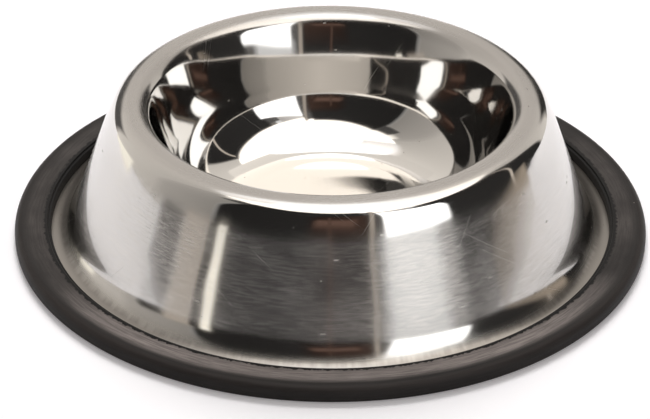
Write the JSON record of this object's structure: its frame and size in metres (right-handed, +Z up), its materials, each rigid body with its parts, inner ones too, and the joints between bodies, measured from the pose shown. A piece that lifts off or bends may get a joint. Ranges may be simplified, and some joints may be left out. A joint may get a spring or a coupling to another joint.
{
  "type": "non-tip dog bowl",
  "caption": "Round pet bowl pressed from steel sheet: a rolled rim turns over into a flared skirt, and a rubber ring grips the foot so that it neither tips nor slides.",
  "frame": {"origin": "centre of the rubber ring's underside, on the ground", "axes": "+Z up along the bowl's axis of symmetry; X and Y are free, because the bowl is round"},
  "size_m": [0.22, 0.22, 0.05],
  "materials": {
    "steel": "polished, with a satin rim and fine handling scratches",
    "rubber": "matt moulded"
  },
  "bodies": {
    "root": {"steel_bowl": "steel", "rubber_ring": "rubber"}
  },
  "joints": []
}
